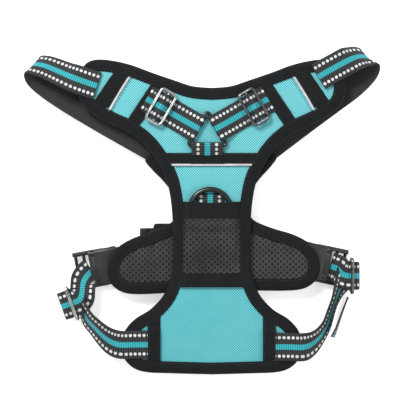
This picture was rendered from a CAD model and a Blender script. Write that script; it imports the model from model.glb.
import math
import bpy
import bmesh
import numpy as np
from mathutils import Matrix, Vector


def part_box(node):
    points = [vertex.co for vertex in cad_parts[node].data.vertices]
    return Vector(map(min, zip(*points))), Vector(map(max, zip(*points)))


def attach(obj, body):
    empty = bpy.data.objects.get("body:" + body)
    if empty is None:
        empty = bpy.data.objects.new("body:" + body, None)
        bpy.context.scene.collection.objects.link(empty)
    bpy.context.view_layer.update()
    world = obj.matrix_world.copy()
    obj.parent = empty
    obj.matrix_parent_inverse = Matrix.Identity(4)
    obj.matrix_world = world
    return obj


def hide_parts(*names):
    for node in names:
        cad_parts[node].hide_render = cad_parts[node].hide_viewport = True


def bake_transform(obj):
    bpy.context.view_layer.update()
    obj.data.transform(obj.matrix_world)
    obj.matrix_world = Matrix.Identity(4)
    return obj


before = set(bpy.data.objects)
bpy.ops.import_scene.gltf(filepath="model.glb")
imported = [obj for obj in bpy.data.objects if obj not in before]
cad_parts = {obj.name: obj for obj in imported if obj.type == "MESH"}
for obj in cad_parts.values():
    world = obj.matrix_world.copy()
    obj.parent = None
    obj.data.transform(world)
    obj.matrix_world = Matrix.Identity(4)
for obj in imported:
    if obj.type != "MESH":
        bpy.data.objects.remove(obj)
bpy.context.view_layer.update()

# ---------------------------------------------------------------------------
# Table, light and view
# The harness lies flat on a plain pale table under wide soft lamps, and is seen
# from straight above through a long lens.
view_width = 0.356
view_middle = (-0.0104, 0.0362)
lens_mm = 150
camera_data = bpy.data.cameras.new("overhead")
camera_data.lens = lens_mm
camera_data.sensor_width = 36
camera_data.clip_end = 20
camera = bpy.data.objects.new("overhead", camera_data)
bpy.context.collection.objects.link(camera)
camera.location = (view_middle[0], view_middle[1], 0.022 + view_width * lens_mm / 36)
bpy.context.scene.camera = camera

world = bpy.data.worlds.new("studio")
world.use_nodes = True
world.node_tree.nodes["Background"].inputs["Color"].default_value = (1, 1, 1, 1)
world.node_tree.nodes["Background"].inputs["Strength"].default_value = 0.66
bpy.context.scene.world = world
bpy.context.scene.view_settings.view_transform = "Standard"


def softbox(name, place, aim, size, watts):
    lamp = bpy.data.lights.new(name, "AREA")
    lamp.shape = "DISK"
    lamp.size = size
    lamp.energy = watts
    made = bpy.data.objects.new(name, lamp)
    bpy.context.collection.objects.link(made)
    made.location = place
    made.rotation_euler = (Vector(aim) - Vector(place)).to_track_quat("-Z", "Y").to_euler()


softbox("key", (-0.5, 0.75, 1.1), (0, 0, 0), 0.5, 16)
softbox("fill", (0.9, -0.2, 1.0), (0, 0, 0), 0.9, 4)


def new_material(name):
    made = bpy.data.materials.new(name)
    made.use_nodes = True
    return made, made.node_tree, made.node_tree.nodes["Principled BSDF"]


table_material, tree, surface = new_material("pale_table")
surface.inputs["Base Color"].default_value = (0.93, 0.93, 0.93, 1)
surface.inputs["Roughness"].default_value = 0.9
surface.inputs["Specular IOR Level"].default_value = 0.1
surface.inputs["Emission Color"].default_value = (1, 1, 1, 1)
surface.inputs["Emission Strength"].default_value = 0.5
table_mesh = bpy.data.meshes.new("table_top")
table_mesh.from_pydata([(-4, -4, 0), (4, -4, 0), (4, 4, 0), (-4, 4, 0)], [], [(0, 1, 2, 3)])
table_mesh.materials.append(table_material)
table_top = bpy.data.objects.new("table_top", table_mesh)
bpy.context.collection.objects.link(table_top)

# ---------------------------------------------------------------------------
# Padding of the two panels
# Each panel is a foam pad between an outer cloth and a knitted mesh lining. The
# pads are puffed out as cloth between their sewn edges, then pressed at the seams.
girth_y = -22.5
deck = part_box("chest_shell")[1].z
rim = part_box("chest_binding")[1].z
chest_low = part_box("chest_binding")[0].z
back_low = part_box("back_binding")[0].z
back_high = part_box("back_binding")[1].z


def at(x, y):
    """A place on the pattern, in millimetres from the midline and the girth line."""
    return np.array([x, y + girth_y]) / 1000


def smooth(points, steps):
    """A smooth open curve through rows of numbers."""
    p = np.asarray(points, float)
    out = []
    for i in range(len(p) - 1):
        a, b, c, d = p[max(i - 1, 0)], p[i], p[i + 1], p[min(i + 2, len(p) - 1)]
        for k in range(steps):
            t = k / steps
            out.append(0.5 * (2 * b + (c - a) * t + (2 * a - 5 * b + 4 * c - d) * t * t
                              + (3 * b - a - 3 * c + d) * t ** 3))
    return np.array(out + [p[-1]])


def evenly(points, step):
    """The same open line, resampled at even steps."""
    p = np.asarray(points, float)
    lengths = np.concatenate([[0], np.cumsum(np.linalg.norm(np.diff(p[:, :3], axis=0), axis=1))])
    count = max(2, int(round(lengths[-1] / step)) + 1)
    marks = np.linspace(0, lengths[-1], count)
    return np.stack([np.interp(marks, lengths, p[:, k]) for k in range(p.shape[1])], 1)


def panel_edge(half, step=0.0022):
    """A whole panel outline from its right half, as a closed loop without its last point."""
    right = smooth([at(x, y) for x, y in half], 6)
    left = right[::-1] * [-1, 1]
    return evenly(np.concatenate([right, left[1:]]), step)[:-1]


def inward(loop):
    """Unit normals of a closed loop, pointing into the panel."""
    run = np.roll(loop, -2, 0) - np.roll(loop, 2, 0)
    run /= np.linalg.norm(run, axis=1)[:, None]
    area = 0.5 * np.sum(loop[:, 0] * np.roll(loop[:, 1], -1) - loop[:, 1] * np.roll(loop[:, 0], -1))
    return np.stack([-run[:, 1], run[:, 0]], 1) * np.sign(area)


chest_half = [
    (0, 158.5), (17, 160), (34, 165.5), (53, 172), (72, 179), (90, 183), (104, 183.5), (113, 179),
    (118, 168), (119, 155), (115, 143.5), (105, 134.5), (92, 127.5), (75, 119.5), (62, 110),
    (53, 100), (45, 87), (39.5, 74), (36, 55), (34.5, 30), (34.5, 5), (36.5, -10), (43, -26),
    (54.5, -38.5), (68, -47), (77, -57), (81.5, -70), (78, -82), (70, -90.5), (58, -94.5),
        (36, -95.5), (0, -96.5)]
back_half = [
    (0, 101), (32, 101.5), (54, 100.5), (59, 95.5), (53, 87), (43, 76.5), (36, 66), (33.5, 52),
        (36, 40.5),
    (53, 32.5), (71, 26.5), (84, 19.5), (92, 10), (95, -1), (93.5, -11.5), (87, -19), (77, -23.2),
        (60, -24),
    (30, -23), (0, -22.5)]
back_turn = math.radians(1.4)
back_shift = 0.00125
turn = np.array([[math.cos(back_turn), math.sin(back_turn)],
    [-math.sin(back_turn), math.cos(back_turn)]])
chest_edge = panel_edge(chest_half)
back_edge = panel_edge(back_half) @ turn + [back_shift, 0]


def linked(name, mesh):
    made = bpy.data.objects.new(name, mesh)
    bpy.context.collection.objects.link(made)
    return made


def baked(piece):
    """The piece with its modifiers turned into plain mesh."""
    bpy.context.view_layer.update()
    seen = piece.evaluated_get(bpy.context.evaluated_depsgraph_get())
    mesh = bpy.data.meshes.new_from_object(seen)
    piece.modifiers.clear()
    piece.data = mesh
    return piece


def corners_of(piece):
    co = np.zeros(len(piece.data.vertices) * 3)
    piece.data.vertices.foreach_get("co", co)
    return co.reshape(-1, 3)


def move_corners(piece, co):
    piece.data.vertices.foreach_set("co", np.asarray(co, float).ravel())
    piece.data.update()


def edge_distance(co, loop):
    """Distance in plan from each point to a closed loop."""
    nearest = np.full(len(co), 9.0)
    for i in range(0, len(co), 4000):
        part = co[i:i + 4000, None, :2] - loop[None]
        nearest[i:i + 4000] = np.sqrt((part ** 2).sum(2)).min(1)
    return nearest


def pad_blank(name, loop, low, high, voxel):
    """A flat blank of foam in the outline of loop, remeshed into even squares."""
    n = len(loop)
    verts = [(x, y, low) for x, y in loop] + [(x, y, high) for x, y in loop]
    faces = [tuple(range(n)), tuple(range(2 * n - 1, n - 1, -1))]
    faces += [(i, (i + 1) % n, n + (i + 1) % n, n + i) for i in range(n)]
    mesh = bpy.data.meshes.new(name)
    mesh.from_pydata(verts, [], faces)
    made = linked(name, mesh)
    shape = bmesh.new()
    shape.from_mesh(mesh)
    bmesh.ops.recalc_face_normals(shape, faces=shape.faces)
    shape.to_mesh(mesh)
    shape.free()
    squares = made.modifiers.new("squares", "REMESH")
    squares.mode = "VOXEL"
    squares.voxel_size = voxel
    return baked(made)


def puff(piece, held, pressure, cap, frames=18):
    """Blows the pad out as cloth, with the corners in held kept still and no corner moving past cap."""
    rest = corners_of(piece)
    group = piece.vertex_groups.new(name="sewn")
    for i in np.nonzero(held)[0]:
        group.add([int(i)], 1.0, "REPLACE")
    cloth = piece.modifiers.new("cloth", "CLOTH")
    cloth.settings.quality = 4
    cloth.settings.mass = 0.25
    cloth.settings.tension_stiffness = 12
    cloth.settings.compression_stiffness = 12
    cloth.settings.bending_stiffness = 0.3
    cloth.settings.use_pressure = True
    cloth.settings.uniform_pressure_force = pressure
    cloth.settings.effector_weights.gravity = 0
    cloth.settings.vertex_group_mass = "sewn"
    cloth.collision_settings.use_collision = False
    cloth.point_cache.frame_start = 1
    cloth.point_cache.frame_end = frames
    for step in range(1, frames + 1):
        bpy.context.scene.frame_set(step)
    baked(piece)
    moved = corners_of(piece) - rest
    length = np.linalg.norm(moved, axis=1)[:, None]
    move_corners(piece, rest + moved * np.minimum(1, cap / np.maximum(length, 1e-9)))
    bpy.context.scene.frame_set(1)
    piece.vertex_groups.clear()
    return piece


def finer(piece, levels=1):
    more = piece.modifiers.new("finer", "SUBSURF")
    more.levels = more.render_levels = levels
    return baked(piece)


def shade_smooth(piece):
    piece.data.polygons.foreach_set("use_smooth", [True] * len(piece.data.polygons))
    return piece


def press_line(piece, a, b, depth, width):
    """Presses a straight sewn channel from a to b into both faces of a pad."""
    co = corners_of(piece)
    a, b = np.asarray(a), np.asarray(b)
    t = np.clip(((co[:, :2] - a) @ (b - a)) / ((b - a) @ (b - a)), 0, 1)
    away = np.linalg.norm(co[:, :2] - (a + t[:, None] * (b - a)), axis=1)
    middle = (co[:, 2].max() + co[:, 2].min()) / 2
    co[:, 2] -= np.sign(co[:, 2] - middle) * depth * np.exp(-(away / width) ** 2)
    move_corners(piece, co)


def node(tree, kind, **settings):
    made = tree.nodes.new(kind)
    for key, value in settings.items():
        setattr(made, key, value)
    return made


def feed(tree, socket, value):
    """Links a socket to another node's output, or gives it a plain number."""
    if isinstance(value, bpy.types.NodeSocket):
        tree.links.new(value, socket)
    else:
        socket.default_value = value


def sums(tree, operation, *values):
    made = node(tree, "ShaderNodeMath", operation=operation)
    for socket, value in zip(made.inputs, values):
        feed(tree, socket, value)
    return made.outputs[0]


def effect(name, numbers, outputs=("Mask",)):
    """An empty shader group with a vector input and named number inputs."""
    tree = bpy.data.node_groups.new(name, "ShaderNodeTree")
    tree.interface.new_socket("Vector", in_out="INPUT", socket_type="NodeSocketVector")
    for label, value in numbers.items():
        tree.interface.new_socket(label, in_out="INPUT",
            socket_type="NodeSocketFloat").default_value = value
    for label in outputs:
        tree.interface.new_socket(label, in_out="OUTPUT", socket_type="NodeSocketFloat")
    return tree, node(tree, "NodeGroupInput"), node(tree, "NodeGroupOutput")


def placed(tree, group, vector, **numbers):
    """A group set into a material with its own values."""
    made = node(tree, "ShaderNodeGroup", node_tree=group)
    feed(tree, made.inputs["Vector"], vector)
    for label, value in numbers.items():
        feed(tree, made.inputs[label.replace("_", " ")], value)
    return made.outputs[0]


def step_up(tree, value, low, high):
    made = node(tree, "ShaderNodeMapRange", interpolation_type="SMOOTHSTEP")
    feed(tree, made.inputs["Value"], value)
    feed(tree, made.inputs["From Min"], low)
    feed(tree, made.inputs["From Max"], high)
    return made.outputs["Result"]


def mixed(tree, mask, first, second):
    made = node(tree, "ShaderNodeMix", data_type="RGBA")
    feed(tree, made.inputs[0], mask)
    feed(tree, made.inputs[6], first)
    feed(tree, made.inputs[7], second)
    return made.outputs[2]


def in_mm(tree, kind="Object"):
    place = node(tree, "ShaderNodeTexCoord").outputs[kind]
    made = node(tree, "ShaderNodeVectorMath", operation="SCALE")
    feed(tree, made.inputs[0], place)
    made.inputs["Scale"].default_value = 1000
    return made.outputs[0]


def bumped(tree, surface, height, distance, strength=1.0):
    made = node(tree, "ShaderNodeBump")
    made.inputs["Distance"].default_value = distance
    made.inputs["Strength"].default_value = strength
    feed(tree, made.inputs["Height"], height)
    tree.links.new(made.outputs["Normal"], surface.inputs["Normal"])


# Woven cloth: threads that pass over and under each other
weave, inside, outside = effect("weave", {"Pitch": 1.0}, ("Height",))
parts = node(weave, "ShaderNodeSeparateXYZ")
feed(weave, parts.inputs[0], inside.outputs["Vector"])
turns = sums(weave, "DIVIDE", 2 * math.pi, inside.outputs["Pitch"])
across = sums(weave, "SINE", sums(weave, "MULTIPLY", parts.outputs["X"], turns))
along = sums(weave, "SINE", sums(weave, "MULTIPLY", parts.outputs["Y"], turns))
feed(weave, outside.inputs["Height"], sums(weave, "ADD",
    sums(weave, "MULTIPLY", sums(weave, "MULTIPLY", across, along), 0.5), 0.5))

# Uneven dye, dust and handling, as a soft cloudy mask
cloudy, inside, outside = effect("cloudy", {"Size": 20.0})
clouds = node(cloudy, "ShaderNodeTexNoise")
clouds.inputs["Detail"].default_value = 4
feed(cloudy, clouds.inputs["Vector"], inside.outputs["Vector"])
feed(cloudy, clouds.inputs["Scale"], sums(cloudy, "DIVIDE", 1.0, inside.outputs["Size"]))
feed(cloudy, outside.inputs["Mask"], step_up(cloudy, clouds.outputs["Fac"], 0.3, 0.7))

# Rows of round spots, each row shifted by Stagger
spots, inside, outside = effect("spots", {"Step": 5.0, "Row": 4.0, "Radius": 1.0, "Soft": 0.2,
    "Stagger": 0.5})
parts = node(spots, "ShaderNodeSeparateXYZ")
feed(spots, parts.inputs[0], inside.outputs["Vector"])
row = sums(spots, "DIVIDE", parts.outputs["Y"], inside.outputs["Row"])
odd = sums(spots, "MULTIPLY", sums(spots, "FLOORED_MODULO", sums(spots, "FLOOR", row), 2.0),
    inside.outputs["Stagger"])
place = sums(spots, "ADD", sums(spots, "DIVIDE", parts.outputs["X"], inside.outputs["Step"]), odd)
dx = sums(spots, "MULTIPLY", sums(spots, "SUBTRACT", sums(spots, "FRACT", place), 0.5),
    inside.outputs["Step"])
dy = sums(spots, "MULTIPLY", sums(spots, "SUBTRACT", sums(spots, "FRACT", row), 0.5),
    inside.outputs["Row"])
away = sums(spots, "SQRT", sums(spots, "ADD", sums(spots, "MULTIPLY", dx, dx),
    sums(spots, "MULTIPLY", dy, dy)))
near = step_up(spots, away, sums(spots, "ADD", inside.outputs["Radius"], inside.outputs["Soft"]),
    inside.outputs["Radius"])
feed(spots, outside.inputs["Mask"], near)

teal_cloth, tree, surface = new_material("teal_oxford_cloth")
spot = in_mm(tree)
threads = placed(tree, weave, spot, Pitch=2.2)
dye = placed(tree, cloudy, spot, Size=34.0)
creases = placed(tree, cloudy, spot, Size=11.0)
parts = node(tree, "ShaderNodeSeparateXYZ")
feed(tree, parts.inputs[0], spot)
upper = step_up(tree, parts.outputs["Y"], -60.0, 120.0)
shade = mixed(tree, upper, (0.085, 0.5, 0.55, 1), (0.19, 0.66, 0.69, 1))
shade = mixed(tree, sums(tree, "MULTIPLY", dye, 0.3), shade, (0.22, 0.7, 0.72, 1))
weft = mixed(tree, threads, shade, (0.005, 0.13, 0.17, 1))
feed(tree, surface.inputs["Base Color"], mixed(tree, sums(tree, "MULTIPLY",
    sums(tree, "SUBTRACT", 1.0, threads), 0.3), weft, (0.3, 0.8, 0.82, 1)))
surface.inputs["Roughness"].default_value = 0.75
surface.inputs["Specular IOR Level"].default_value = 0.2
surface.inputs["Sheen Weight"].default_value = 0.06
bumped(tree, surface, sums(tree, "ADD", sums(tree, "MULTIPLY", threads, 0.3),
    sums(tree, "MULTIPLY", creases, 1.0)), 0.0004, 0.8)

mesh_lining, tree, surface = new_material("knitted_mesh_lining")
spot = in_mm(tree)
holes = placed(tree, spots, spot, Step=5.4, Row=2.5, Radius=1.0, Soft=0.3)
fuzz = placed(tree, cloudy, spot, Size=1.3)
dye = placed(tree, cloudy, spot, Size=26.0)
knit = mixed(tree, sums(tree, "MULTIPLY", fuzz, 0.7), (0.007, 0.008, 0.009, 1), (0.034, 0.037, 0.04, 1))
knit = mixed(tree, sums(tree, "MULTIPLY", dye, 0.5), knit, (0.062, 0.066, 0.069, 1))
feed(tree, surface.inputs["Base Color"], mixed(tree, holes, knit, (0.001, 0.001, 0.0012, 1)))
surface.inputs["Roughness"].default_value = 0.5
surface.inputs["Specular IOR Level"].default_value = 0.3
surface.inputs["Sheen Weight"].default_value = 0.04
bumped(tree, surface, sums(tree, "SUBTRACT", sums(tree, "MULTIPLY", fuzz, 0.2), holes), 0.0006, 0.9)

black_cloth, tree, surface = new_material("black_oxford_cloth")
spot = in_mm(tree)
threads = placed(tree, weave, spot, Pitch=1.5)
dye = placed(tree, cloudy, spot, Size=30.0)
shade = mixed(tree, dye, (0.01, 0.011, 0.012, 1), (0.02, 0.0215, 0.023, 1))
feed(tree, surface.inputs["Base Color"], mixed(tree, sums(tree, "MULTIPLY", threads, 0.4), shade,
    (0.004, 0.004, 0.005, 1)))
surface.inputs["Roughness"].default_value = 0.75
surface.inputs["Specular IOR Level"].default_value = 0.2
surface.inputs["Sheen Weight"].default_value = 0.05
bumped(tree, surface, threads, 0.0003, 0.7)


def two_faced(piece, top, under):
    """One cloth on the upper face of a pad and another beneath."""
    piece.data.materials.clear()
    piece.data.materials.append(top)
    piece.data.materials.append(under)
    normals = np.zeros(len(piece.data.polygons) * 3)
    piece.data.polygons.foreach_get("normal", normals)
    piece.data.polygons.foreach_set("material_index", (normals[2::3] < 0).astype(np.int32))
    piece.data.update()


def make_pad(name, loop, low, high, seams, top, under, nodes, groove=(0.0009, 0.0016)):
    edge = loop + inward(loop) * 0.0032
    pad = pad_blank(name, edge, low, high, 0.0029)
    co = corners_of(pad)
    held = edge_distance(co, edge) < 0.007
    for a, b in seams:
        a, b = np.asarray(a), np.asarray(b)
        t = np.clip(((co[:, :2] - a) @ (b - a)) / ((b - a) @ (b - a)), 0, 1)
        held |= np.linalg.norm(co[:, :2] - (a + t[:, None] * (b - a)), axis=1) < 0.0025
    puff(pad, held, 2.5, 0.0013)
    finer(pad)
    for a, b in seams:
        press_line(pad, a, b, *groove)
    two_faced(pad, top, under)
    shade_smooth(pad)
    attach(pad, "harness")
    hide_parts(*nodes)
    return pad


wing_seams = [
    (at(-56, 33.5) @ turn + [back_shift, 0], at(-55, -15) @ turn + [back_shift, 0]),
    (at(55, 33.5) @ turn + [back_shift, 0], at(55, -15) @ turn + [back_shift, 0])]
back_pad = make_pad("back_pad", back_edge, back_low + 0.0015, back_high - 0.0015, wing_seams,
                    mesh_lining, black_cloth, ["back_foam", "back_shell", "back_lining"],
                        (0.0019, 0.0028))
chest_seams = [(at(-48, 95.5), at(48, 95.5)), (at(-25, -12), at(25, -12))]
chest_pad = make_pad("chest_pad", chest_edge, chest_low + 0.0015, deck - 0.0009, chest_seams,
                     teal_cloth, mesh_lining, ["chest_foam", "chest_shell", "chest_lining"])

# ---------------------------------------------------------------------------
# Binding tape
# Ribbed black grosgrain, folded over the raw edge of each panel and sewn through
# close to its inner edge, so it stands a little proud of the cloth.
ribs, inside, outside = effect("ribs", {"Pitch": 1.2}, ("Height",))
parts = node(ribs, "ShaderNodeSeparateXYZ")
feed(ribs, parts.inputs[0], inside.outputs["Vector"])
turns = sums(ribs, "DIVIDE", math.pi, inside.outputs["Pitch"])
feed(ribs, outside.inputs["Height"], sums(ribs, "ABSOLUTE",
    sums(ribs, "SINE", sums(ribs, "MULTIPLY", parts.outputs["Y"], turns))))

black_tape, tree, surface = new_material("black_grosgrain_tape")
spot = node(tree, "ShaderNodeTexCoord").outputs["UV"]
rib = placed(tree, ribs, spot, Pitch=1.3)
fuzz = placed(tree, cloudy, spot, Size=0.9)
dye = placed(tree, cloudy, in_mm(tree), Size=18.0)
shade = mixed(tree, rib, (0.001, 0.0012, 0.0014, 1), (0.008, 0.0092, 0.01, 1))
shade = mixed(tree, sums(tree, "MULTIPLY", fuzz, 0.3), shade, (0.015, 0.0165, 0.0175, 1))
feed(tree, surface.inputs["Base Color"], mixed(tree, sums(tree, "MULTIPLY", dye, 0.25), shade,
    (0.014, 0.015, 0.016, 1)))
surface.inputs["Roughness"].default_value = 0.8
surface.inputs["Specular IOR Level"].default_value = 0.14
surface.inputs["Sheen Weight"].default_value = 0.03
bumped(tree, surface, sums(tree, "ADD", rib, sums(tree, "MULTIPLY", fuzz, 0.4)), 0.00025, 0.8)


def skin(name, rows, uv, material, around=True, closed=False):
    """A mesh through rows of points: each row is one cross-section, with its own UV in millimetres."""
    rows, uv = np.asarray(rows, float), np.asarray(uv, float)
    count, sides = rows.shape[:2]
    spans = count if closed else count - 1
    turns = sides if around else sides - 1
    faces, corners = [], []
    for i in range(spans):
        for j in range(turns):
            k, m = (i + 1) % count, (j + 1) % sides
            faces.append((i * sides + j, i * sides + m, k * sides + m, k * sides + j))
            corners += [uv[i, j], uv[i, j + 1], uv[i + 1, j + 1], uv[i + 1, j]]
    if around and not closed:
        faces.append(tuple(range(sides - 1, -1, -1)))
        corners += [uv[0, j] + (100, 0) for j in range(sides - 1, -1, -1)]
        faces.append(tuple((count - 1) * sides + j for j in range(sides)))
        corners += [uv[count - 1, j] + (100, 0) for j in range(sides)]
    mesh = bpy.data.meshes.new(name)
    mesh.from_pydata(rows.reshape(-1, 3).tolist(), [], faces)
    layer = mesh.uv_layers.new(name="UVMap")
    layer.data.foreach_set("uv", np.array(corners).ravel())
    mesh.materials.append(material)
    shape = bmesh.new()
    shape.from_mesh(mesh)
    bmesh.ops.recalc_face_normals(shape, faces=shape.faces)
    shape.to_mesh(mesh)
    shape.free()
    return shade_smooth(linked(name, mesh))


def run_lengths(points, closed=False):
    p = np.asarray(points, float)
    if closed:
        p = np.concatenate([p, p[:1]])
    return np.concatenate([[0], np.cumsum(np.linalg.norm(np.diff(p, axis=0), axis=1))]) * 1000


def folded_tape(name, loop, low, high, width, cad_node):
    normal = inward(loop)
    middle = (low + high) / 2
    top = [(width, high - 0.0014), (width - 0.0002, high - 0.0006), (width - 0.0009, high - 0.0002),
           (width * 0.72, high), (width * 0.45, high), (width * 0.25, high - 0.0003),
               (0.0012, high - 0.001),
           (0.0004, high - 0.0020), (0, middle + 0.0008)]
    profile = np.array(top + [(n, low + high - z) for n, z in top[::-1]])
    travel = np.concatenate([[0], np.cumsum(np.linalg.norm(np.diff(np.concatenate([profile,
        profile[:1]]), axis=0), axis=1))])
    s = run_lengths(loop, True)
    rows = np.zeros((len(loop), len(profile), 3))
    rows[:, :, :2] = loop[:, None] + normal[:, None] * profile[None, :, :1]
    rows[:, :, 2] = profile[None, :, 1]
    pucker = np.sin(s[:-1] / 4.1) * np.sin(s[:-1] / 2.7 + 1) * 0.00014
    rows[:, 2:5, 2] += pucker[:, None]
    uv = np.zeros((len(loop) + 1, len(profile) + 1, 2))
    uv[:, :, 0] = travel[None] * 1000
    uv[:, :, 1] = s[:, None]
    made = skin(name, rows, uv, black_tape, closed=True)
    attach(made, "harness")
    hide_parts(cad_node)
    return made


tape_width = 0.0107
folded_tape("back_binding_tape", back_edge, back_low, back_high, tape_width, "back_binding")
folded_tape("chest_binding_tape", chest_edge, chest_low, rim, tape_width, "chest_binding")
# ---------------------------------------------------------------------------

# Bands and piping sewn on the chest panel
# Flat grosgrain bands cross the panel and each arm, over the ends of the webbing.
# Silver reflective piping lies along them, and a band closes each lower corner.
silver_piping, tree, surface = new_material("silver_piping")
spot = in_mm(tree)
grain = placed(tree, weave, spot, Pitch=0.7)
dye = placed(tree, cloudy, spot, Size=9.0)
shade = mixed(tree, dye, (0.44, 0.44, 0.455, 1), (0.6, 0.6, 0.62, 1))
feed(tree, surface.inputs["Base Color"], mixed(tree, sums(tree, "MULTIPLY", grain, 0.25), shade,
    (0.3, 0.31, 0.32, 1)))
surface.inputs["Roughness"].default_value = 0.42
surface.inputs["Metallic"].default_value = 0.2
bumped(tree, surface, grain, 0.0001, 0.6)


def rise(value, low, high):
    t = np.clip((np.asarray(value, float) - low) / (high - low), 0, 1)
    return t * t * (3 - 2 * t)


def inside_loop(point, loop):
    x, y = loop[:, 0], loop[:, 1]
    x2, y2 = np.roll(x, -1), np.roll(y, -1)
    crosses = (y > point[1]) != (y2 > point[1])
    return bool(np.sum(crosses & (point[0] < (x2 - x) * (point[1] - y) / (y2 - y + 1e-12) + x)) % 2)


def strip_between(name, a, b, low, top, material, cad_nodes, edge_gap=0.0):
    """A flat strip of tape from line a to line b. top is a height, or a function of plan points."""
    a, b = evenly(a, 0.0015), np.asarray(b, float)
    b = evenly(b, run_lengths(b)[-1] / 1000 / max(1, len(a) - 1))
    count = min(len(a), len(b))
    a, b = a[:count], b[:count]
    share = np.array([0, 0.02, 0.08, 0.3, 0.5, 0.7, 0.92, 0.98, 1])
    drop = np.array([1, 0.45, 0.12, 0.02, 0, 0.02, 0.12, 0.45, 1]) * 0.0006
    on_panel = (edge_distance(np.concatenate([a, b]), chest_edge) > edge_gap).reshape(2, count).all(0)
    inside = [inside_loop(p, chest_edge) and inside_loop(q, chest_edge) for p, q in zip(a, b)]
    keep = np.flatnonzero(on_panel & inside)
    a, b = a[keep[0]:keep[-1] + 1], b[keep[0]:keep[-1] + 1]
    count = len(a)
    plan = a[:, None] * (1 - share[None, :, None]) + b[:, None] * share[None, :, None]
    heights = top(plan.reshape(-1,
        2)).reshape(plan.shape[:2]) if callable(top) else np.full(plan.shape[:2], top)
    upper = np.concatenate([plan, (heights - drop)[:, :, None]], 2)
    lower = np.concatenate([plan[:, ::-1], np.full(plan.shape[:2], low)[:, :, None]], 2)
    rows = np.concatenate([upper, lower], 1)
    width = np.linalg.norm(a - b, axis=1).mean() * 1000
    u = np.concatenate([share * width, (2 - share) * width, [2 * width]])
    uv = np.zeros((count, len(u), 2))
    uv[:, :, 0] = u[None]
    uv[:, :, 1] = run_lengths(a)[:, None]
    made = skin(name, rows, uv, material)
    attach(made, "harness")
    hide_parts(*cad_nodes)
    return made


def line(*points):
    return np.array([at(x, y) for x, y in points])


def mirrored(points, side):
    return [(side * x, y) for x, y in points]


def bow(a, m, b, n):
    return [tuple(np.array(a) * (1 - t) * (1 - 2 * t) + np.array(m) * 4 * t * (1 - t) + np.array(b) * t * (2 * t - 1))
            for t in np.linspace(0, 1, n + 1)]


ring_middle = -0.0039
cross_top, cross_low = 100.5, 91


def over_centre_strap(plan):
    return deck + 0.0009 + 0.0013 * rise(np.abs(plan[:, 0] - ring_middle), 0.0172, 0.0148)


across_panel = np.linspace(-41.5, 41.5, 40)
strip_between("cross_band_tape", [at(x, cross_top) for x in across_panel],
    [at(x, cross_low) for x in across_panel],
                           deck - 0.0008, over_centre_strap, black_tape, ["cross_band"])
across_panel = np.linspace(-38.5, 38.5, 40)
strip_between("cross_piping_strip", [at(x, cross_low - 0.1) for x in across_panel],
                             [at(x, cross_low - 2.1) for x in across_panel],
                             deck - 0.0008, deck + 0.0009, silver_piping, ["cross_piping"])


def band_height(plan):
    away = edge_distance(plan, chest_edge)
    return deck + 0.0007 + 0.0010 * rise(away, 0.0115, 0.0155)


piping_curve = bow((66, 178), (79.5, 157.5), (90.5, 138.5), 10)
for side, word in ((-1, "left"), (1, "right")):
    inner = [(x + 1.7, y) for x, y in piping_curve]
    outer = [(79, 184), (111, 137)]
    strip_between(word + "_outer_band_tape", line(*mirrored(inner, side)), line(*mirrored(outer, side)),
                  deck - 0.0008, band_height, black_tape, [word + "_outer_band"], 0.002)
    strip_between(word + "_arm_piping_strip", line(*mirrored([(x - 0.8, y) for x,
        y in piping_curve], side)),
                  line(*mirrored([(x + 1.6, y) for x, y in piping_curve], side)),
                  deck - 0.0008, deck + 0.0009, silver_piping, [word + "_arm_piping"],
                      tape_width - 0.0015)
    strip_between(word + "_inner_band_tape", line(*mirrored([(36, 168), (68, 119)], side)),
                  line(*mirrored([(47, 172), (77, 127)], side)),
                  deck - 0.0008, band_height, black_tape, [word + "_inner_band"], 0.0025)


def over_side_strap(plan):
    y = plan[:, 1] * 1000 - girth_y
    on_strap = rise(y, -85.5, -82.3) * rise(y, -54.0, -57.2)
    return deck + 0.0007 + 0.0023 * on_strap


for side, word in ((-1, "left"), (1, "right")):
    strip_between(word + "_corner_band_tape", line(*mirrored([(45.5, -37), (45.5, -90)], side)),
                  line(*mirrored([(57, -42), (57, -90)], side)),
                  deck - 0.0008, over_side_strap, black_tape, [word + "_corner_band"])

# ---------------------------------------------------------------------------
# Pocket for the front leash ring
# A pouch of knitted mesh over the lower part of the ring, closed by a ribbed
# elastic above, which hugs the ring, and by a hem below.
pocket_half = 0.0252


def pocket_height(x, y):
    """How far the pouch stands over the cloth at a pattern place, in metres."""
    half = pocket_half + 0.0045 * rise(y, -4, -19)
    sides = rise(np.abs(x + 0.0004), half, half - 0.0065)
    full = 0.0013 + 0.0053 * rise(y, -12, 27)
    bar = 0.0005 * np.exp(-((y - 35.8) / 3) ** 2) * (np.abs(x) < 0.02)
    legs = 0.0004 * np.exp(-((np.abs(x + 0.0013) - 0.0184) / 0.0022) ** 2) * rise(y, 33, 38)
    sag = 0.0007 * np.exp(-((x + 0.002) / 0.008) ** 2) * rise(y, 4, 24) * rise(y, 34, 30)
    return sides * (full + bar + legs - sag)


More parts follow.
